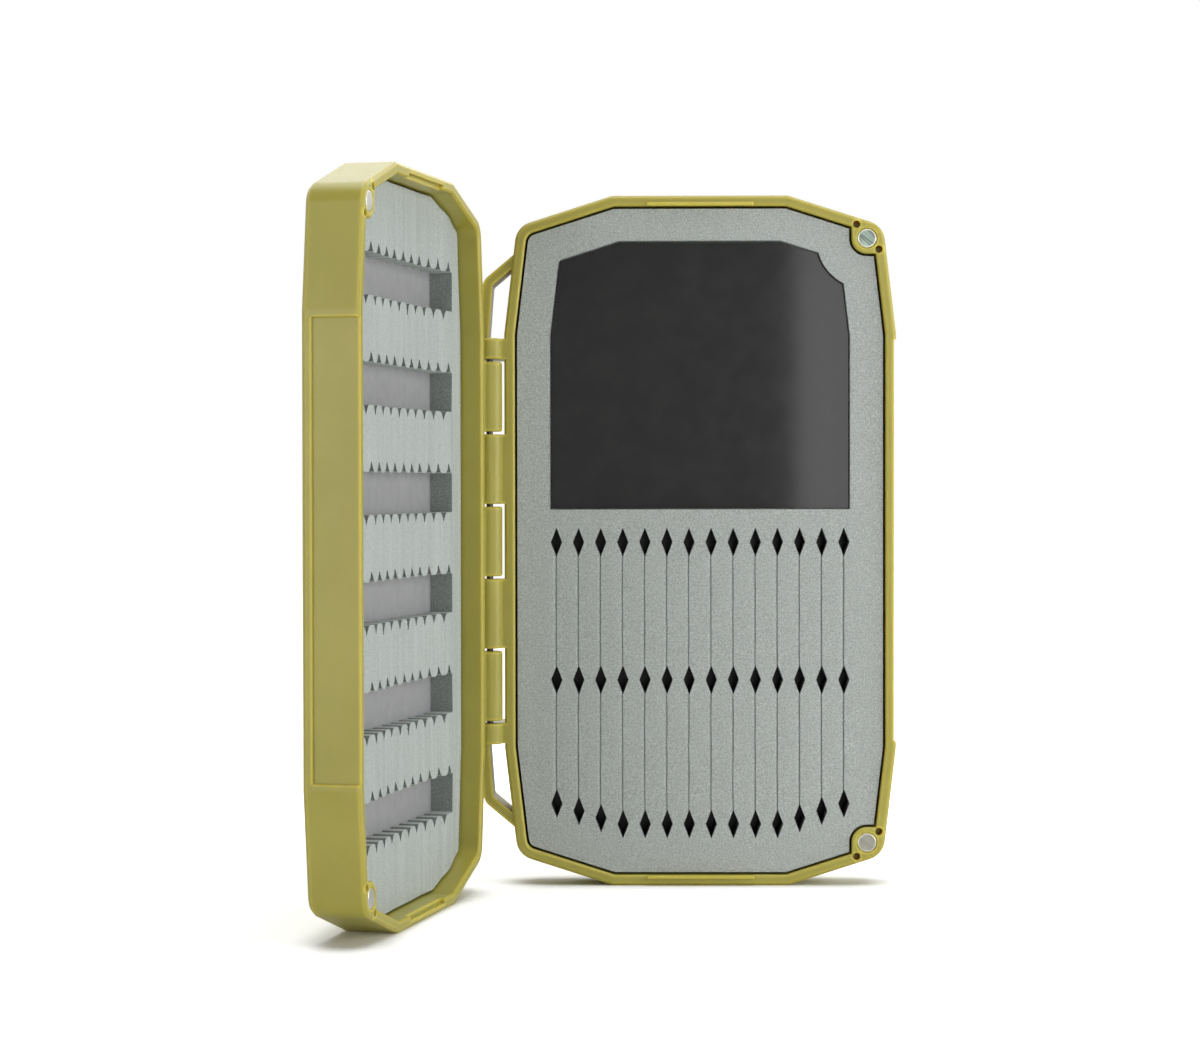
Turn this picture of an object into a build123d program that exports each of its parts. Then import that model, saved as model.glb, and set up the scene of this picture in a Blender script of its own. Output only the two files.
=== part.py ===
from build123d import *

import os

# A pocket fly box: two moulded half shells on a pinned hinge, held shut by corner magnets.
# The tray holds a thick slit foam with a magnetic sheet let into it.
# The lid holds a foam cut into six windows between toothed bars.
#
# Every piece is drawn with the box open flat on its back: x across, y along the hinge,
# z up out of the rims, the hinge axis on the y axis. Both halves are drawn on the +x side
# and the lid is mirrored across. The lid is then folded up, and the box stood on its end.

# Half shells
half_width = 52.2
half_height = 92.0
half_depth = 14.2
wall = 2.8
floor_thickness = 1.8
end_taper_across = 28.8
side_taper_along = 36.8
corner_taper_across = 3.4
corner_taper_along = 8.1
corner_radius = 5.8
back_edge_chamfer = 1.0
rim_outer_chamfer = 0.65
rim_inner_chamfer = 0.45
parting_gap = 0.2
open_angle = 103.0

# Grip recess in the free side of each half
grip_end_margin = 1.8
grip_depth = 0.6
grip_back_margin = 2.6
grip_ramp = 0.6

# Alignment rib on the tray's rim, and the notch for it in the lid's
rib_length = 28.5
rib_width = 1.0
rib_height = 1.0
rib_edge_radius = 0.35
rib_clearance = 0.2

# Corner magnets, their bosses and the two blind holes beside each
magnet_diameter = 5.3
magnet_thickness = 2.0
magnet_chamfer = 0.3
magnet_glue_gap = 0.05
magnet_recess = 0.05
magnet_side_margin = 7.75
magnet_end_margin = 11.45
boss_radius = 4.05
blind_hole_diameter = 1.95
blind_hole_depth = 3.2
blind_hole_inner = (-2.77, 3.7)
blind_hole_outer = (3.15, -2.95)

# Hinge
hinge_setback = 3.9
hinge_end_margin = 38.0
knuckle_radius = 3.35
end_knuckle_length = 5.5
knuckle_gap = 0.75
knuckle_chamfer = 0.35
lid_knuckle_count = 3
web_depth = 4.6
pin_diameter = 1.8
pin_end_inset = 0.3
tray_bore_clearance = 0.01
lid_bore_clearance = 0.06

# Lanyard loops beyond the ends of the hinge
loop_front = 1.2
loop_setback = 2.9
loop_depth = 12.0
loop_band = 2.6
loop_height = 15.6
loop_lean = 1.15
loop_top_angle = 40.0
loop_outer_radius = 4.0
loop_inner_radius = 1.2

# Foam and sheets in the tray
foam_gap = 0.65
tray_foam_drop = 1.0
face_foam_thickness = 4.0
film_thickness = 0.15
window_inset = 12.2
window_rise = 0.3
window_floor = 8.45
window_corner_radius = 1.5
window_magnet_radius = 13.4
magnetic_sheet_thickness = 1.35
magnetic_sheet_gap = 0.3

# Diamond holes and slits in the tray foam
diamond_columns = 14
diamond_side_margin = 13.85
diamond_width = 3.0
diamond_length = 7.3
top_row_drop = 0.3
middle_row_margin = 54.9
bottom_row_margin = 16.3
corner_lifts = (5.5, 3.5, 1.6)
slit_width = 0.3

# Foam and sheets in the lid
lid_foam_drop = 5.8
lid_backing_thickness = 0.95
lid_window_count = 6
lid_window_end_margin = 26.75
lid_window_side_margin = 13.0
lid_window_height = 10.1
notch_columns = 11
notch_end_margin = 4.2
notch_depth = 2.9
upward_notch_half_mouth = 1.5
downward_notch_half_mouth = 1.1

# Lengths that follow from the ones above
centre_across = hinge_setback + half_width
rim_level = -parting_gap / 2
cavity_depth = half_depth - floor_thickness
end_flat = half_width - end_taper_across
side_flat = half_height - side_taper_along
corner_across = half_width - corner_taper_across
corner_along = half_height - corner_taper_along
grip_half_length = side_flat - grip_end_margin
grip_reach = half_depth - grip_back_margin
magnet_across = half_width - magnet_side_margin
magnet_along = half_height - magnet_end_margin
lid_foam_thickness = cavity_depth - lid_foam_drop - lid_backing_thickness - film_thickness
hinge_length = 2 * (half_height - hinge_end_margin)
knuckle_gaps = 2 * lid_knuckle_count * knuckle_gap
knuckle_length = (hinge_length - 2 * end_knuckle_length - knuckle_gaps) / (2 * lid_knuckle_count - 1)
diamond_pitch = 2 * (half_width - diamond_side_margin) / (diamond_columns - 1)
diamond_rows = (-top_row_drop, middle_row_margin - half_height, bottom_row_margin - half_height)
lid_window_pitch = 2 * (half_height - lid_window_end_margin) / (lid_window_count - 1)
lid_window_half_length = half_width - lid_window_side_margin
notch_pitch = 2 * (lid_window_half_length - notch_end_margin) / (notch_columns - 1)


def outline(inset, radius):
    """Face of the twelve-sided outline, inset from the outer edge, with four rounded corners."""
    quarter = [(end_flat, half_height), (corner_across, corner_along), (half_width, side_flat)]
    right = quarter + [(x, -y) for x, y in reversed(quarter)]
    left = [(-x, -y) for x, y in right]
    shape = make_face(Polyline(*right, *left, close=True).edges())
    if inset > 0:
        shape = offset(shape, amount=-inset, kind=Kind.INTERSECTION)
    corners = shape.vertices().sort_by(lambda vertex: abs(vertex.X * vertex.Y))[-4:]
    return fillet(corners, radius)


def slab(shape, top, bottom):
    """Solid of a flat shape between two depths below the rim, placed on the +x half."""
    return Pos(centre_across, 0, rim_level - bottom) * extrude(shape, amount=bottom - top)


def magnet_places():
    """Centres of the two magnets of a half, from the middle of its outline."""
    return [(magnet_across, side * magnet_along, side) for side in (1, -1)]


def boss_face(radius):
    """Faces of the two corner bosses: square to the walls, rounded on the inner corner."""
    bosses = []
    for x, y, side in magnet_places():
        across = half_width - x + radius
        along = half_height - abs(y) + radius
        block = Pos(x - radius + across / 2, y + side * (along / 2 - radius)) * Rectangle(across, along)
        inner = block.vertices().sort_by(lambda vertex: vertex.X**2 + vertex.Y**2)[0]
        bosses.append(fillet(inner, radius))
    return bosses


def foam_outline(gap):
    """Inside outline of a half less a gap all round, clear of the corner bosses."""
    inset = wall + gap
    shape = outline(inset, corner_radius - inset)
    for boss in boss_face(boss_radius + gap):
        shape -= boss
    return shape


def bare_half():
    """A half shell without its hinge: walls, floor, corner bosses and the grip recess."""
    body = extrude(outline(0, corner_radius), amount=-half_depth)
    body = chamfer(body.edges().group_by(Axis.Z)[0], back_edge_chamfer)
    body = chamfer(body.edges().group_by(Axis.Z)[-1], rim_outer_chamfer)
    body -= extrude(foam_outline(0), amount=-cavity_depth)
    body -= extrude(foam_outline(-rim_inner_chamfer), amount=-rim_inner_chamfer, taper=45)
    for x, y, side in magnet_places():
        pocket_radius = magnet_diameter / 2 + magnet_glue_gap
        body -= Pos(x, y) * extrude(Circle(pocket_radius), amount=-(magnet_thickness + magnet_recess))
        for hole_x, hole_y in (blind_hole_inner, blind_hole_outer):
            hole = Pos(x + hole_x, y + side * hole_y) * Circle(blind_hole_diameter / 2)
            body -= extrude(hole, amount=-blind_hole_depth)
    return Pos(centre_across, 0, rim_level) * (body - grip_recess())


def grip_recess():
    """Shallow recess along the free side, open at the rim and ramped at both ends."""
    floor_x = half_width - grip_depth
    past = half_width + grip_depth
    long_end = grip_half_length + grip_ramp
    face = Polygon(
        (floor_x, -grip_half_length),
        (past, -long_end),
        (past, long_end),
        (floor_x, grip_half_length),
        align=None,
    )
    return extrude(face, amount=-grip_reach)


def rim_strip(length, width, height):
    """Two bars on the inner edge of the end rims, the rib's shape or the notch's."""
    y = half_height - wall + width / 2
    foot = rim_inner_chamfer
    bar = Pos(0, y, -foot) * Box(length, width, height + foot, align=(Align.CENTER, Align.CENTER, Align.MIN))
    return bar, mirror(bar, about=Plane.XZ)


def alignment_ribs():
    """Ribs that stand up from the tray's end rims, with rounded outer edges."""
    ribs = []
    for bar in rim_strip(rib_length, rib_width, rib_height):
        top = bar.edges().group_by(Axis.Z)[-1]
        outer = top.filter_by(Axis.X).sort_by(lambda edge: abs(edge.center().Y))[-1]
        ends = top.filter_by(Axis.Y)
        ribs.append(Pos(centre_across, 0, rim_level) * fillet([outer, *ends], rib_edge_radius))
    return ribs


def rib_notches():
    """Notches in the lid's end rims that take the tray's ribs with a clearance."""
    bars = rim_strip(rib_length + 2 * rib_clearance, rib_width + rib_clearance, rib_height + rib_clearance)
    return [Pos(centre_across, 0, rim_level) * mirror(bar, about=Plane.XY) for bar in bars]


def hinge_axis_cylinder(radius, length):
    """Cylinder centred on the hinge axis."""
    return Rot(90, 0, 0) * Cylinder(radius, length)


def knuckle(middle, length):
    """A barrel on the hinge axis and the web that joins it to the wall of the +x half."""
    barrel = hinge_axis_cylinder(knuckle_radius, length)
    barrel = chamfer(barrel.edges().filter_by(GeomType.CIRCLE), knuckle_chamfer)
    seat = hinge_setback + wall / 2
    profile = Plane.XZ * Polygon(
        (0, rim_level), (0, -knuckle_radius), (seat, -web_depth), (seat, rim_level), align=None
    )
    web = extrude(profile, amount=length / 2, both=True)
    return Pos(0, middle, 0) * (barrel + web)


def knuckle_spans():
    """Middles and lengths of the knuckles from one end of the hinge, tray and lid in turn."""
    spans = []
    start = -hinge_length / 2
    for index in range(2 * lid_knuckle_count + 1):
        is_end = index in (0, 2 * lid_knuckle_count)
        length = end_knuckle_length if is_end else knuckle_length
        spans.append((start + length / 2, length))
        start += length + knuckle_gap
    return spans


def loop_profile():
    """Outer outline of a lanyard loop above the hinge, running into the tray's wall."""
    foot_y = hinge_length / 2 - end_knuckle_length
    foot = (-loop_setback, foot_y)
    end = (-loop_setback, hinge_length / 2)
    shoulder = (loop_lean - loop_setback, hinge_length / 2 + loop_height)
    run = Vector(1, 0).rotate(Axis.Z, loop_top_angle) * half_width / 2
    tip = (shoulder[0] + run.X, shoulder[1] + run.Y)
    face = make_face(Polyline(foot, end, shoulder, tip, (tip[0], foot_y), close=True).edges())
    return face, shoulder


def rounded_at(face, place, radius):
    """The face with its corner nearest to a place rounded."""
    corner = face.vertices().sort_by_distance(Vector(*place, 0))[0]
    return fillet(corner, radius)


def lanyard_loop():
    """Band beyond the top end knuckle that stands off the tray's wall and rejoins it."""
    face, shoulder = loop_profile()
    inside = offset(face, amount=-loop_band, kind=Kind.INTERSECTION)
    inside = rounded_at(inside, shoulder, loop_inner_radius)
    inside -= Pos(0, hinge_length / 2 - half_height) * Rectangle(4 * half_width, 2 * half_height)
    inside -= Pos(centre_across, 0) * outline(0, corner_radius)
    band = rounded_at(face, shoulder, loop_outer_radius) - inside
    band -= Pos(centre_across, 0) * outline(wall / 2, corner_radius - wall / 2)
    return Pos(0, 0, rim_level - loop_front - loop_depth) * extrude(band, amount=loop_depth)


def tray_shell():
    """Tray: half shell with four knuckles, two lanyard loops and the alignment ribs."""
    shell = bare_half()
    for middle, length in knuckle_spans()[0::2]:
        shell += knuckle(middle, length)
    loop = lanyard_loop()
    shell += loop
    shell += mirror(loop, about=Plane.XZ)
    for rib in alignment_ribs():
        shell += rib
    return shell - hinge_axis_cylinder(pin_diameter / 2 + tray_bore_clearance, 2 * hinge_length)


def lid_shell():
    """Lid: half shell with three knuckles and the notches for the tray's ribs."""
    shell = bare_half()
    for middle, length in knuckle_spans()[1::2]:
        shell += knuckle(middle, length)
    for notch in rib_notches():
        shell -= notch
    return shell - hinge_axis_cylinder(pin_diameter / 2 + lid_bore_clearance, 2 * hinge_length)


def hinge_pin():
    """Steel pin through all seven knuckles, just short of the end faces."""
    return hinge_axis_cylinder(pin_diameter / 2, hinge_length - 2 * pin_end_inset)


def magnet(side):
    """Disc magnet at the bottom of its pocket, with a chamfered face."""
    disc = extrude(Circle(magnet_diameter / 2), amount=magnet_thickness)
    disc = chamfer(disc.edges().group_by(Axis.Z)[-1], magnet_chamfer)
    bottom = rim_level - magnet_recess - magnet_thickness
    return Pos(centre_across + magnet_across, side * magnet_along, bottom) * disc


def diamond_chain(x, lift):
    """One column of the tray foam: three diamond holes joined by slits."""
    centres = [diamond_rows[0], diamond_rows[1], diamond_rows[2] + lift]
    top = centres[0]
    bottom = centres[-1]
    chain = Pos(x, (top + bottom) / 2) * Rectangle(slit_width, top - bottom)
    half_across = diamond_width / 2
    half_along = diamond_length / 2
    for y in centres:
        diamond = Polygon((half_across, 0), (0, half_along), (-half_across, 0), (0, -half_along), align=None)
        chain += Pos(x, y) * diamond
    return chain


def diamond_columns_face():
    """All the columns of diamonds, the outer three at each side lifted clear of the corner."""
    columns = []
    for index in range(diamond_columns):
        x = (index - (diamond_columns - 1) / 2) * diamond_pitch
        from_side = min(index, diamond_columns - 1 - index)
        lift = corner_lifts[from_side] if from_side < len(corner_lifts) else 0
        columns.append(diamond_chain(x, lift))
    return columns


def window_face(gap):
    """Window in the tray's face foam, less a gap, with a hollow round each free corner's magnet."""
    shape = Pos(0, window_rise) * outline(window_inset + gap, window_corner_radius)
    shape -= Pos(0, window_floor + gap - half_height) * Rectangle(4 * half_width, 2 * half_height)
    shape -= Pos(magnet_across, magnet_along) * Circle(window_magnet_radius + gap)
    return shape


def slit_foam():
    """Face of the tray foam with its diamonds and slits."""
    shape = foam_outline(foam_gap)
    for column in diamond_columns_face():
        shape -= column
    return shape


def tray_pieces():
    """The tray's foam, films and magnetic sheet, each between its two depths below the rim."""
    cut_foam = slit_foam()
    face_bottom = tray_foam_drop + face_foam_thickness
    base_bottom = cavity_depth - film_thickness
    sheet_bottom = face_bottom - film_thickness
    sheet = window_face(magnetic_sheet_gap)
    return {
        "tray_foam_face": slab(cut_foam - window_face(0), tray_foam_drop, face_bottom),
        "tray_foam_base": slab(cut_foam, face_bottom, base_bottom),
        "tray_adhesive_film": slab(foam_outline(foam_gap), base_bottom, cavity_depth),
        "magnetic_sheet": slab(sheet, sheet_bottom - magnetic_sheet_thickness, sheet_bottom),
        "sheet_adhesive_film": slab(sheet, sheet_bottom, face_bottom),
    }


def notch_face(half_mouth):
    """A notch between two teeth that points up from a bar's lower edge."""
    return Polygon((half_mouth, 0), (0, notch_depth), (-half_mouth, 0), align=None)


def lid_window(middle):
    """One window of the lid foam with its notches: staggered by half a pitch, top and bottom."""
    window = Pos(0, middle) * Rectangle(2 * lid_window_half_length, lid_window_height)
    upward = notch_face(upward_notch_half_mouth)
    downward = mirror(notch_face(downward_notch_half_mouth), about=Plane.XZ)
    for index in range(notch_columns):
        x = (index - (notch_columns - 1) / 2) * notch_pitch
        window += Pos(x, middle + lid_window_height / 2) * upward
    for index in range(notch_columns - 1):
        x = (index - (notch_columns - 2) / 2) * notch_pitch
        window += Pos(x, middle - lid_window_height / 2) * downward
    return window


def lid_pieces():
    """The lid's toothed foam, the sheet behind it and the film that holds both."""
    foam = foam_outline(foam_gap)
    backing = foam_outline(foam_gap)
    for index in range(lid_window_count):
        foam -= lid_window((index - (lid_window_count - 1) / 2) * lid_window_pitch)
    foam_bottom = lid_foam_drop + lid_foam_thickness
    backing_bottom = cavity_depth - film_thickness
    return {
        "lid_foam": slab(foam, lid_foam_drop, foam_bottom),
        "lid_backing_sheet": slab(backing, foam_bottom, backing_bottom),
        "lid_adhesive_film": slab(backing, backing_bottom, cavity_depth),
    }


def tray_body():
    """Everything that stays with the tray."""
    pieces = {
        "tray_shell": tray_shell(),
        "hinge_pin": hinge_pin(),
        "tray_magnet_upper": magnet(1),
        "tray_magnet_lower": magnet(-1),
    }
    return pieces | tray_pieces()


def lid_body():
    """Everything that swings with the lid, folded up from flat to the open angle."""
    pieces = {
        "lid_shell": lid_shell(),
        "lid_magnet_upper": magnet(1),
        "lid_magnet_lower": magnet(-1),
    }
    fold = Rot(0, 180 - open_angle, 0)
    return {name: fold * mirror(piece, about=Plane.YZ) for name, piece in (pieces | lid_pieces()).items()}


def standing(pieces):
    """The box stood on its end, with the origin under the middle of its bounding box."""
    stood = {name: Rot(90, 0, 0) * piece for name, piece in pieces.items()}
    boxes = [piece.bounding_box() for piece in stood.values()]
    low = [min(box.min.X for box in boxes), min(box.min.Y for box in boxes), min(box.min.Z for box in boxes)]
    high = [max(box.max.X for box in boxes), max(box.max.Y for box in boxes)]
    shift = Pos(-(low[0] + high[0]) / 2, -(low[1] + high[1]) / 2, -low[2])
    return {name: shift * piece for name, piece in stood.items()}


os.makedirs("parts", exist_ok=True)
for name, piece in standing(tray_body() | lid_body()).items():
    export_step(piece, f"parts/{name}.step")
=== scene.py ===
import math

import bmesh
import bpy
from mathutils import Matrix, Vector, noise


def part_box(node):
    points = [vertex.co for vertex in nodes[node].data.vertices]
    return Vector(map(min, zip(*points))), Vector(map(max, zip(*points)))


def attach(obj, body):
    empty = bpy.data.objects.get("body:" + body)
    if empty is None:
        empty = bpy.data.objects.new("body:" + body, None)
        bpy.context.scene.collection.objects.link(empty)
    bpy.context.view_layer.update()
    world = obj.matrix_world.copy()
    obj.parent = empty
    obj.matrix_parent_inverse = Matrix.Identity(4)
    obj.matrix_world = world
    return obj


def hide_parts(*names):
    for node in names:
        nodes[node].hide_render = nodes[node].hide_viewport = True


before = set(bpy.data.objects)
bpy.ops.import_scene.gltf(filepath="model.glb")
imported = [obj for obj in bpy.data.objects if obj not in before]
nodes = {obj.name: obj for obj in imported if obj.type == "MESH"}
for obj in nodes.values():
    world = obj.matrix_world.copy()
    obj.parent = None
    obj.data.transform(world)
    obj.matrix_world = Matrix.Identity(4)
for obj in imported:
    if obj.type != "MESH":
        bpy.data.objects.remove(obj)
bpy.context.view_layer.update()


# ---------------------------------------------------------------------------
# Half shells: tray and lid, injection moulded in one satin olive plastic that
# lets a little light through. Thin edges get a painted warm highlight and narrow
# hollows a painted amber shade. The tools leave a fine texture and faint flow marks.
def new_finish(name, roughness=0.5):
    finish = bpy.data.materials.new(name)
    finish.use_nodes = True
    shader = finish.node_tree.nodes["Principled BSDF"]
    shader.inputs["Roughness"].default_value = roughness
    return finish, finish.node_tree, shader


def coat(name, finish):
    nodes[name].data.materials.clear()
    nodes[name].data.materials.append(finish)


def add_node(tree, kind, **settings):
    node = tree.nodes.new(kind)
    for key, value in settings.items():
        if key in node.inputs:
            node.inputs[key].default_value = value
        else:
            setattr(node, key, value)
    return node


def srgb(red, green, blue):
    return tuple(((c / 255 + 0.055) / 1.055) ** 2.4 for c in (red, green, blue))


def grey(level):
    return (level, level, level)


def object_noise(tree, scale, detail=2.0, roughness=0.5, stretch=(1, 1, 1)):
    place = add_node(tree, "ShaderNodeTexCoord")
    mapping = add_node(tree, "ShaderNodeMapping")
    mapping.inputs["Scale"].default_value = stretch
    tree.links.new(place.outputs["Object"], mapping.inputs["Vector"])
    grain = add_node(tree, "ShaderNodeTexNoise", Scale=scale, Detail=detail, Roughness=roughness)
    tree.links.new(mapping.outputs["Vector"], grain.inputs["Vector"])
    return grain.outputs["Fac"]


def ramp(tree, source, first_stop, last_stop):
    node = add_node(tree, "ShaderNodeValToRGB")
    for element, (place, colour) in zip(node.color_ramp.elements, (first_stop, last_stop)):
        element.position = place
        element.color = (*colour, 1.0)
    tree.links.new(source, node.inputs["Fac"])
    return node.outputs["Color"]


def tint(tree, amount, base, colour):
    mixed = add_node(tree, "ShaderNodeMixRGB", Color2=(*colour, 1))
    tree.links.new(amount, mixed.inputs["Fac"])
    tree.links.new(base, mixed.inputs["Color1"])
    return mixed.outputs["Color"]


def bump(tree, shader, height, distance, strength=1.0, under=None):
    relief = add_node(tree, "ShaderNodeBump", Distance=distance, Strength=strength)
    tree.links.new(height, relief.inputs["Height"])
    if under is not None:
        tree.links.new(under, relief.inputs["Normal"])
    tree.links.new(relief.outputs["Normal"], shader.inputs["Normal"])


def worn_edges(tree, radius):
    return add_node(tree, "ShaderNodeBevel", samples=6, Radius=radius).outputs["Normal"]


olive_dark, olive_light = srgb(174, 166, 72), srgb(182, 174, 80)
edge_painted_highlight = srgb(220, 202, 84)
hollow_painted_shade = srgb(172, 146, 30)
thin_wall = 0.0009
hollow_reach = 0.004
shell_edge_wear = 0.0004
texture_depth = 0.00002

olive, tree, shader = new_finish("olive_moulded_plastic")
flow_marks = ramp(tree, object_noise(tree, 55, 3), (0.3, olive_dark), (0.7, olive_light))
# Painted highlight: thin convex edges, found by an inward occlusion probe, are tinted a warmer, brighter
# yellow.
thickness = add_node(
    tree, "ShaderNodeAmbientOcclusion", samples=8, inside=True, only_local=True, Distance=thin_wall,
)
edge_highlight_mask = ramp(tree, thickness.outputs["AO"], (0.68, grey(1.0)), (0.97, grey(0.0)))
with_edge_highlight = tint(tree, edge_highlight_mask, flow_marks, edge_painted_highlight)
# Painted shade: narrow hollows, found by occlusion, are tinted a darker amber.
open_air = add_node(tree, "ShaderNodeAmbientOcclusion", samples=8, only_local=True, Distance=hollow_reach)
hollow_shade = ramp(tree, open_air.outputs["AO"], (0.1, grey(1.0)), (0.36, grey(0.0)))
tree.links.new(tint(tree, hollow_shade, with_edge_highlight, hollow_painted_shade), shader.inputs["Base Color"])
satin = ramp(tree, object_noise(tree, 900, 3), (0.3, grey(0.33)), (0.7, grey(0.43)))
tree.links.new(satin, shader.inputs["Roughness"])
bump(tree, shader, object_noise(tree, 3200), texture_depth, 0.5, worn_edges(tree, shell_edge_wear))
shader.inputs["Subsurface Weight"].default_value = 0.3
shader.inputs["Subsurface Radius"].default_value = (1.0, 0.65, 0.1)
shader.inputs["Subsurface Scale"].default_value = 0.005
for shell in ("tray_shell", "lid_shell"):
    coat(shell, olive)


# ---------------------------------------------------------------------------
# Hinge pin: drawn steel wire, cut to length and pressed through the knuckles.
# Fine drawing lines run along it.
steel_dark, steel_light = srgb(62, 58, 48), srgb(96, 92, 80)

steel, tree, shader = new_finish("drawn_steel", 0.3)
shader.inputs["Metallic"].default_value = 1.0
drawing_lines = object_noise(tree, 900, 3, stretch=(1, 1, 0.03))
tree.links.new(ramp(tree, drawing_lines, (0.3, steel_dark), (0.7, steel_light)), shader.inputs["Base Color"])
bump(tree, shader, drawing_lines, texture_depth, 0.4)
coat("hinge_pin", steel)


# ---------------------------------------------------------------------------
# Corner magnets: pressed discs plated with nickel and glued in their pockets.
# The bright ring on the rounded edge is a painted highlight, and the face shows
# fine slanting ground lines over a per-disc painted reflection; each disc is finished about its own centre.
open_angle = math.radians(103.0)
highlight_ring_start, highlight_ring_end = 0.00205, 0.00235
painted_ring_highlight = srgb(246, 247, 244)
grinding_slant = math.radians(-50)
grinding_stretch = 16
magnet_edge_wear = 0.0003


def nickel_finish(name, turn, reflection_dark, reflection_light):
    low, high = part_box(name)
    nickel, tree, shader = new_finish(name + "_nickel", 0.3)
    shader.inputs["Metallic"].default_value = 1.0
    place = add_node(tree, "ShaderNodeTexCoord")
    centred = add_node(tree, "ShaderNodeMapping", vector_type="TEXTURE")
    centred.inputs["Location"].default_value = (low + high) / 2
    centred.inputs["Rotation"].default_value = (0, 0, turn)
    tree.links.new(place.outputs["Object"], centred.inputs["Vector"])
    across = add_node(tree, "ShaderNodeVectorMath", operation="MULTIPLY")
    across.inputs[1].default_value = (1, 0, 1)
    tree.links.new(centred.outputs["Vector"], across.inputs[0])
    radius = add_node(tree, "ShaderNodeVectorMath", operation="LENGTH")
    tree.links.new(across.outputs["Vector"], radius.inputs[0])
    # Painted highlight: a near-white ring on the disc's rounded edge.
    ring = add_node(tree, "ShaderNodeMapRange", interpolation_type="SMOOTHSTEP")
    ring.inputs["From Min"].default_value = highlight_ring_start
    ring.inputs["From Max"].default_value = highlight_ring_end
    tree.links.new(radius.outputs["Value"], ring.inputs["Value"])
    slanted = add_node(tree, "ShaderNodeMapping", vector_type="TEXTURE")
    slanted.inputs["Rotation"].default_value = (0, grinding_slant, 0)
    slanted.inputs["Scale"].default_value = (1, 1, grinding_stretch)
    tree.links.new(centred.outputs["Vector"], slanted.inputs["Vector"])
    lines = add_node(tree, "ShaderNodeTexNoise", Scale=2200, Detail=2.0, Roughness=0.5)
    tree.links.new(slanted.outputs["Vector"], lines.inputs["Vector"])
    face = ramp(tree, lines.outputs["Fac"], (0.4, reflection_dark), (0.6, reflection_light))
    tree.links.new(tint(tree, ring.outputs["Result"], face, painted_ring_highlight), shader.inputs["Base Color"])
    bump(tree, shader, lines.outputs["Fac"], texture_depth, 0.3, worn_edges(tree, magnet_edge_wear))
    coat(name, nickel)


# Painted reflection: one nickel, but each disc's face colours stand in for what it reflects: the tray's upper
# disc dark and greenish, its lower disc mid grey, the lid's discs near white.
nickel_finish("tray_magnet_upper", 0, srgb(92, 101, 94), srgb(152, 167, 154))
nickel_finish("tray_magnet_lower", 0, srgb(158, 156, 142), srgb(180, 178, 166))
for magnet in ("lid_magnet_upper", "lid_magnet_lower"):
    nickel_finish(magnet, -open_angle, srgb(214, 214, 208), srgb(234, 234, 230))


# ---------------------------------------------------------------------------
# Tray foam: two layers of closed-cell foam, die-cut from sheet and stuck down.
# The knife leaves slightly rounded edges and slits that close up again, with
# one lip of each slit standing lower than the other.
hinge_low, hinge_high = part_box("hinge_pin")
hinge_axis = Vector(((hinge_low.x + hinge_high.x) / 2, (hinge_low.y + hinge_high.y) / 2, 0))
half_middle = 0.0561
mid_height = 0.092
rim_below_axis = 0.0001
tray_place = Matrix((
    (1, 0, 0, hinge_axis.x + half_middle),
    (0, 0, -1, hinge_axis.y + rim_below_axis),
    (0, 1, 0, mid_height),
    (0, 0, 0, 1),
))

same_level = 1e-5
rounding_steps = ((0.29, 1.0), (0.71, 0.29))
sharp_edge = math.radians(40)
foam_gloss = 0.25


def foam_finish(name, dark, light, cell_size, roughness, streaks=0.0):
    foam, tree, shader = new_finish(name, roughness)
    shader.inputs["Specular IOR Level"].default_value = foam_gloss
    cells = object_noise(tree, 1 / cell_size, 2, 0.8)
    drawn = object_noise(tree, 420, 3, stretch=(1, 1, 0.04))
    both = add_node(tree, "ShaderNodeMix", data_type="FLOAT", Factor=streaks)
    tree.links.new(cells, both.inputs["A"])
    tree.links.new(drawn, both.inputs["B"])
    tree.links.new(ramp(tree, both.outputs["Result"], (0.3, dark), (0.7, light)), shader.inputs["Base Color"])
    bump(tree, shader, both.outputs["Result"], cell_size / 4, 0.5)
    return foam


def cut_outline(node, place):
    """The walls that the knife cut, laid flat with the sheet's face up."""
    work = bmesh.new()
    work.from_mesh(nodes[node].data)
    work.transform(place.inverted())
    bmesh.ops.remove_doubles(work, verts=work.verts, dist=2e-6)
    work.normal_update()
    ends = [face for face in work.faces if abs(face.normal.z) > 0.9]
    bmesh.ops.delete(work, geom=ends, context="FACES_ONLY")
    bmesh.ops.dissolve_limit(work, verts=work.verts, edges=work.edges, angle_limit=0.01)
    return work


def close_faces(work):
    """The sheet's front and back skins, filled in between the cut walls."""
    heights = [vert.co.z for vert in work.verts]
    for level, up in ((max(heights), 1), (min(heights), -1)):
        rim = [
            edge for edge in work.edges
            if edge.is_boundary and all(abs(vert.co.z - level) < same_level for vert in edge.verts)
        ]
        bmesh.ops.triangle_fill(work, edges=rim, use_beauty=True, normal=(0, 0, up))


def divide(work, normal, places):
    for place in places:
        everything = list(work.verts) + list(work.edges) + list(work.faces)
        bmesh.ops.bisect_plane(work, geom=everything, plane_co=Vector(normal) * place, plane_no=normal)


def soften_knife_edges(work, edge_round):
    """Round the front skin over into the cut walls, in two narrow steps."""
    top = max(vert.co.z for vert in work.verts)
    for width, drop in rounding_steps:
        work.normal_update()
        skin = [
            face for face in work.faces
            if face.normal.z > 0.9 and all(abs(vert.co.z - top) < 1e-6 for vert in face.verts)
        ]
        rim = {
            vert for face in skin for edge in face.edges
            if any(beside not in skin for beside in edge.link_faces) for vert in edge.verts
        }
        bmesh.ops.inset_region(work, faces=skin, thickness=edge_round * width, use_even_offset=False)
        for vert in rim:
            vert.co.z = top - edge_round * drop


def cut_wall_slot(normal):
    """Material slot of a cut wall: end walls, side walls in painted shade, or the slopes between in darker
    painted shade.
    """
    if abs(normal.y) > 0.9:
        return 2
    return 1 if abs(normal.x) > 0.97 else 3


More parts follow.
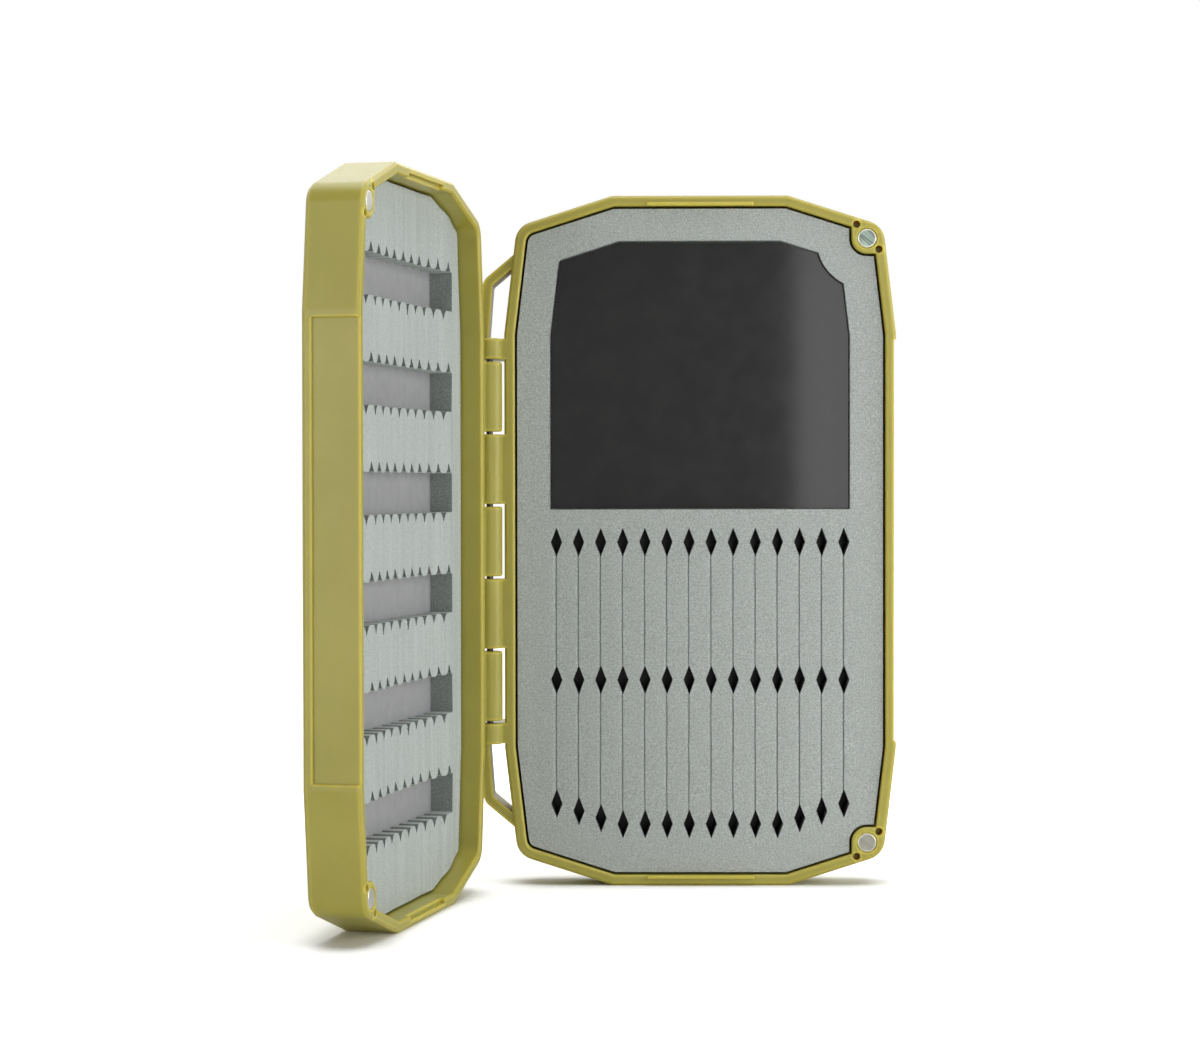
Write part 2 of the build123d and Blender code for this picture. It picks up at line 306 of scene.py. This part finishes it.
def finish_piece(work, name, place, skin, body):
    work.normal_update()
    for face in work.faces:
        face.smooth = True
        if abs(face.normal.z) < 0.2:
            face.material_index = cut_wall_slot(face.normal)
    for edge in work.edges:
        edge.smooth = len(edge.link_faces) == 2 and edge.calc_face_angle(0) < sharp_edge
    work.transform(place)
    mesh = bpy.data.meshes.new(name)
    work.to_mesh(mesh)
    work.free()
    piece = bpy.data.objects.new(name, mesh)
    bpy.context.scene.collection.objects.link(piece)
    weighting = piece.modifiers.new("flat_faces", "WEIGHTED_NORMAL")
    weighting.keep_sharp = True
    for foam in (skin, side_walls_painted_shade, open_cells, slopes_painted_shade):
        mesh.materials.append(foam)
    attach(piece, body)
    return piece


# The cut walls are copies of one foam: side walls and slopes are darkened as painted shade, end walls keep
# the skin's tone.
skin_cell, cut_cell = 0.00034, 0.0004
tray_grey = foam_finish("tray_foam_skin", srgb(152, 158, 154), srgb(216, 221, 217), skin_cell, 0.88, 0.03)
side_walls_painted_shade = foam_finish("cut_foam_sides_painted_shade", srgb(122, 128, 124), srgb(172, 178, 174), cut_cell, 0.95)
open_cells = foam_finish("cut_foam_ends", srgb(164, 170, 166), srgb(214, 220, 216), cut_cell, 0.95)
slopes_painted_shade = foam_finish("cut_foam_slopes_painted_shade", srgb(104, 108, 106), srgb(144, 148, 146), cut_cell, 0.95)

slit_pitch = 0.0059
slit_columns = [(index - 6.5) * slit_pitch for index in range(14)]
slits_below = 0.006
cut_half, closed_half = 0.00015, 0.00003
near = 0.00001
tip_stretch, end_stretch = 0.00055, 0.0002
wander = 0.00012
wander_between, wander_along = 500, 180
lip_width, lip_drop = 0.0013, 0.0004
lip_skin = 0.0003
lip_lines = (lip_width, 0.0008, 0.0004, 0.0002)
tray_edge_round = 0.00008
first_row, row_step, rows = -0.08713, 0.003, 59

tray_face = cut_outline("tray_foam_face", tray_place)
column_ends = []
for middle in slit_columns:
    slit = [
        vert for vert in tray_face.verts
        if abs(abs(vert.co.x - middle) - cut_half) < near and vert.co.y < slits_below
    ]
    tips = sorted({round(vert.co.y, 5) for vert in slit})
    for vert in slit:
        upward = tips.index(round(vert.co.y, 5)) % 2 == 0
        vert.co.y += tip_stretch if upward else -tip_stretch
        vert.co.x = middle + math.copysign(closed_half, vert.co.x - middle)
    points = [
        vert for vert in tray_face.verts
        if abs(vert.co.x - middle) < near and vert.co.y < slits_below
    ]
    lowest, highest = min(vert.co.y for vert in points), max(vert.co.y for vert in points)
    for vert in points:
        vert.co.y += end_stretch if vert.co.y > (lowest + highest) / 2 else -end_stretch
    column_ends.append((lowest, highest))
close_faces(tray_face)
divide(tray_face, (0, 1, 0), [first_row + row_step * row for row in range(rows)])
divide(tray_face, (1, 0, 0), [middle - beside for middle in slit_columns for beside in lip_lines])
foam_top = max(vert.co.z for vert in tray_face.verts)
soften_knife_edges(tray_face, tray_edge_round)
for middle, (lowest, highest) in zip(slit_columns, column_ends):
    for vert in tray_face.verts:
        x, y, z = vert.co
        if abs(x - middle) < lip_width and lowest < y < highest:
            if abs(abs(x - middle) - closed_half) < near:
                vert.co.x += wander * noise.noise(Vector((middle * wander_between, y * wander_along, 0)))
            if z > foam_top - lip_skin and x < middle:
                vert.co.z -= lip_drop * max(0, 1 - (middle - x) / lip_width) ** 3
tray_face = finish_piece(tray_face, "tray_foam_front", tray_place, tray_grey, "tray")
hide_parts("tray_foam_face")

tray_base = cut_outline("tray_foam_base", tray_place)
close_faces(tray_base)
tray_base = finish_piece(tray_base, "tray_foam_back", tray_place, tray_grey, "tray")
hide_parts("tray_foam_base")


# ---------------------------------------------------------------------------
# Lid foam: one layer of the same foam, its six windows cut with toothed edges.
# The teeth keep soft round tips, and the sheet bows a little between them.
lid_out = Vector((math.cos(open_angle), -math.sin(open_angle), 0))
lid_face = Vector((math.sin(open_angle), math.cos(open_angle), 0))
lid_middle = hinge_axis + lid_out * half_middle - lid_face * rim_below_axis
lid_place = Matrix((
    (-lid_out.x, 0, lid_face.x, lid_middle.x),
    (-lid_out.y, 0, lid_face.y, lid_middle.y),
    (0, 1, 0, mid_height),
    (0, 0, 0, 1),
))
lid_grey = foam_finish("lid_foam_skin", srgb(158, 165, 161), srgb(215, 222, 218), skin_cell, 0.88, 0.2)

windows_half_width, windows_half_height = 0.042, 0.08
bluntest_corner, sharpest_corner = 0.9, 1.3
tooth_round = 0.0012
lid_edge_round = 0.00018
first_column, column_step, columns = -0.04817, 0.003, 33
notch_pitch = 0.007
bowed_skin = 0.0005
bow_height = 0.001
bow = (0.0, 0.3, 0.67, 0.31, 0.0, -0.27, -0.2, -0.35, -0.47, -0.2, 0.16, 0.9, 0.3, 0.0)

lid_foam = cut_outline("lid_foam", lid_place)
tooth_corners = [
    edge for edge in lid_foam.edges
    if len(edge.link_faces) == 2 and bluntest_corner < edge.calc_face_angle(0) < sharpest_corner
    and abs(edge.verts[0].co.x) < windows_half_width and abs(edge.verts[0].co.y) < windows_half_height
]
bmesh.ops.bevel(
    lid_foam, geom=tooth_corners, offset=tooth_round, segments=4, profile=0.5, affect="EDGES", material=-1,
    clamp_overlap=True,
)
close_faces(lid_foam)
divide(lid_foam, (1, 0, 0), [first_column + column_step * column for column in range(columns)])
soften_knife_edges(lid_foam, lid_edge_round)
lid_front = max(vert.co.z for vert in lid_foam.verts)
for vert in lid_foam.verts:
    if vert.co.z > lid_front - bowed_skin:
        station = min(max(vert.co.x / notch_pitch + 6, 0), 12.99)
        step = int(station)
        part = station - step
        part = part * part * (3 - 2 * part)
        vert.co.z += bow_height * (bow[step] * (1 - part) + bow[step + 1] * part)
lid_foam = finish_piece(lid_foam, "lid_toothed_foam", lid_place, lid_grey, "lid")
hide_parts("lid_foam")


# ---------------------------------------------------------------------------
# Magnetic sheet: flexible magnetic rubber, calendered smooth, let into the foam.
# It is almost black and reflects softly, with faint scuffs.
sheet_dark, sheet_light = srgb(53, 53, 53), srgb(59, 59, 59)

magnetic, tree, shader = new_finish("magnetic_rubber")
scuffs = object_noise(tree, 140, 6, 0.6)
tree.links.new(ramp(tree, scuffs, (0.4, sheet_dark), (0.75, sheet_light)), shader.inputs["Base Color"])
shader.inputs["Specular IOR Level"].default_value = 0.34
tree.links.new(ramp(tree, scuffs, (0.35, grey(0.055)), (0.7, grey(0.07))), shader.inputs["Roughness"])
coat("magnetic_sheet", magnetic)


# ---------------------------------------------------------------------------
# Backing sheet behind the lid's foam: smooth grey sheet, stuck to the shell's
# floor and seen in the windows.
backing_dark, backing_light = srgb(168, 168, 170), srgb(178, 178, 180)

backing, tree, shader = new_finish("grey_backing_sheet", 0.55)
clouding = object_noise(tree, 300, 3)
tree.links.new(ramp(tree, clouding, (0.3, backing_dark), (0.7, backing_light)), shader.inputs["Base Color"])
bump(tree, shader, object_noise(tree, 2600), texture_depth, 0.3)
coat("lid_backing_sheet", backing)


# ---------------------------------------------------------------------------
# Adhesive films: clear double-sided film under the foams and the sheet, seen
# only as the floor of the diamond holes, coloured dark olive-brown there as painted shade.
hole_shade_dark, hole_shade_light = srgb(40, 37, 24), srgb(52, 47, 30)

film, tree, shader = new_finish("adhesive_film_hole_shade", 0.3)
ripples = object_noise(tree, 400, 3)
tree.links.new(ramp(tree, ripples, (0.3, hole_shade_dark), (0.7, hole_shade_light)), shader.inputs["Base Color"])
for layer in ("tray_adhesive_film", "sheet_adhesive_film", "lid_adhesive_film"):
    coat(layer, film)


# ---------------------------------------------------------------------------
# Table: a white table that stays white to the camera away from the box, and
# keeps the box's shadow close to where it stands.
table_half = 6.0
contact_reach = 0.012
shadow_edge, shadow_end = 0.5, 0.95
near_box, far_from_box = 0.1, 0.5
shadow_keeps = 0.45


def map_range(tree, source, from_min, from_max, to_min=0.0, to_max=1.0, **settings):
    node = add_node(tree, "ShaderNodeMapRange", **settings)
    limits = {"From Min": from_min, "From Max": from_max, "To Min": to_min, "To Max": to_max}
    for label, value in limits.items():
        node.inputs[label].default_value = value
    tree.links.new(source, node.inputs["Value"])
    return node.outputs["Result"]


def combine(tree, operation, one, other):
    node = add_node(tree, "ShaderNodeMath", operation=operation)
    tree.links.new(one, node.inputs[0])
    tree.links.new(other, node.inputs[1])
    return node.outputs["Value"]


work = bmesh.new()
bmesh.ops.create_grid(work, x_segments=1, y_segments=1, size=table_half)
table_mesh = bpy.data.meshes.new("table")
work.to_mesh(table_mesh)
work.free()
table = bpy.data.objects.new("table", table_mesh)
bpy.context.scene.collection.objects.link(table)

white, tree, shader = new_finish("white_table", 0.9)
shader.inputs["Specular IOR Level"].default_value = 0.0
shader.inputs["Emission Color"].default_value = (1, 1, 1, 1)
camera_ray = add_node(tree, "ShaderNodeLightPath").outputs["Is Camera Ray"]
tree.links.new(ramp(tree, camera_ray, (0.0, grey(0.85)), (1.0, grey(1.0))), shader.inputs["Base Color"])
touching = add_node(tree, "ShaderNodeAmbientOcclusion", samples=12, Distance=contact_reach)
spread = map_range(tree, touching.outputs["AO"], shadow_edge, shadow_end, interpolation_type="SMOOTHSTEP")
away = add_node(tree, "ShaderNodeVectorMath", operation="LENGTH")
tree.links.new(add_node(tree, "ShaderNodeTexCoord").outputs["Object"], away.inputs[0])
horizon = map_range(tree, away.outputs["Value"], near_box, far_from_box, to_min=shadow_keeps)
clear = combine(tree, "MULTIPLY", spread, horizon)
tree.links.new(combine(tree, "MULTIPLY", camera_ray, clear), shader.inputs["Emission Strength"])
table_mesh.materials.append(white)


# ---------------------------------------------------------------------------
# Room: soft boxes above, behind and at both sides of the box. Gloss and metal
# reflect a white room that is bright behind the box and dimmer in front of it.
def soft_box(name, place, target, size, brightness):
    light = bpy.data.lights.new(name, "AREA")
    light.shape = "RECTANGLE"
    light.size, light.size_y = size
    light.energy = brightness * math.pi * size[0] * size[1]
    lamp = bpy.data.objects.new(name, light)
    bpy.context.scene.collection.objects.link(lamp)
    aim = Vector(target) - Vector(place)
    lamp.matrix_world = Matrix.Translation(place) @ aim.to_track_quat("-Z", "Y").to_matrix().to_4x4()


soft_box("overhead_box", (0.05, 0.08, 1.1), (0, 0.05, 0.1), (1.4, 1.0), 2.0)
soft_box("right_box", (0.75, -0.17, 0.22), (0.0, 0.0, 0.1), (0.5, 0.56), 3.8)
soft_box("left_box", (-0.95, -1.15, 0.06), (0.0, 0.0, 0.06), (0.8, 1.0), 3.95)
soft_box("front_right_box", (0.46, -1.5, 0.22), (0.46, 0.0, 0.22), (0.63, 0.7), 2.8)
soft_box("back_box", (0.0, 1.6, 1.1), (0, 0, 0.2), (2.4, 1.0), 1.4)

turn_over = 0.1
front_dimness = 0.25
fill_light = 0.04
world = bpy.data.worlds.new("white_room")
world.use_nodes = True
bpy.context.scene.world = world
tree = world.node_tree
background = tree.nodes["Background"]
background.inputs["Color"].default_value = (1, 1, 1, 1)
rays = add_node(tree, "ShaderNodeLightPath")
toward = add_node(tree, "ShaderNodeSeparateXYZ")
tree.links.new(add_node(tree, "ShaderNodeTexCoord").outputs["Generated"], toward.inputs["Vector"])
backdrop = map_range(tree, toward.outputs["Y"], -turn_over, turn_over, to_min=front_dimness)
mirrored = combine(tree, "MULTIPLY", rays.outputs["Is Glossy Ray"], backdrop)
seen = combine(tree, "MAXIMUM", mirrored, rays.outputs["Is Camera Ray"])
seen_through = combine(tree, "MAXIMUM", seen, rays.outputs["Is Transmission Ray"])
least = add_node(tree, "ShaderNodeMath", operation="MAXIMUM")
tree.links.new(seen_through, least.inputs[0])
least.inputs[1].default_value = fill_light
tree.links.new(least.outputs["Value"], background.inputs["Strength"])
bpy.context.scene.view_settings.view_transform = "Standard"


# ---------------------------------------------------------------------------
# Camera: level with the middle of the open box and square to the tray, far
# enough off that the lid's inside is seen at a slant.
sensor_width = 36.0
frame_width = 1200
focal_pixels = 2727.06
tilt, roll, yaw = (math.radians(degrees) for degrees in (0.827, 0.085, 0.486))

lens = bpy.data.cameras.new("camera")
lens.sensor_width = sensor_width
lens.lens = sensor_width * focal_pixels / frame_width
lens.clip_start = 0.05
camera = bpy.data.objects.new("camera", lens)
bpy.context.scene.collection.objects.link(camera)
camera.location = (0.000451, -0.681396, 0.107211)
camera.rotation_euler = (math.pi / 2 - tilt, roll, yaw)
bpy.context.scene.camera = camera
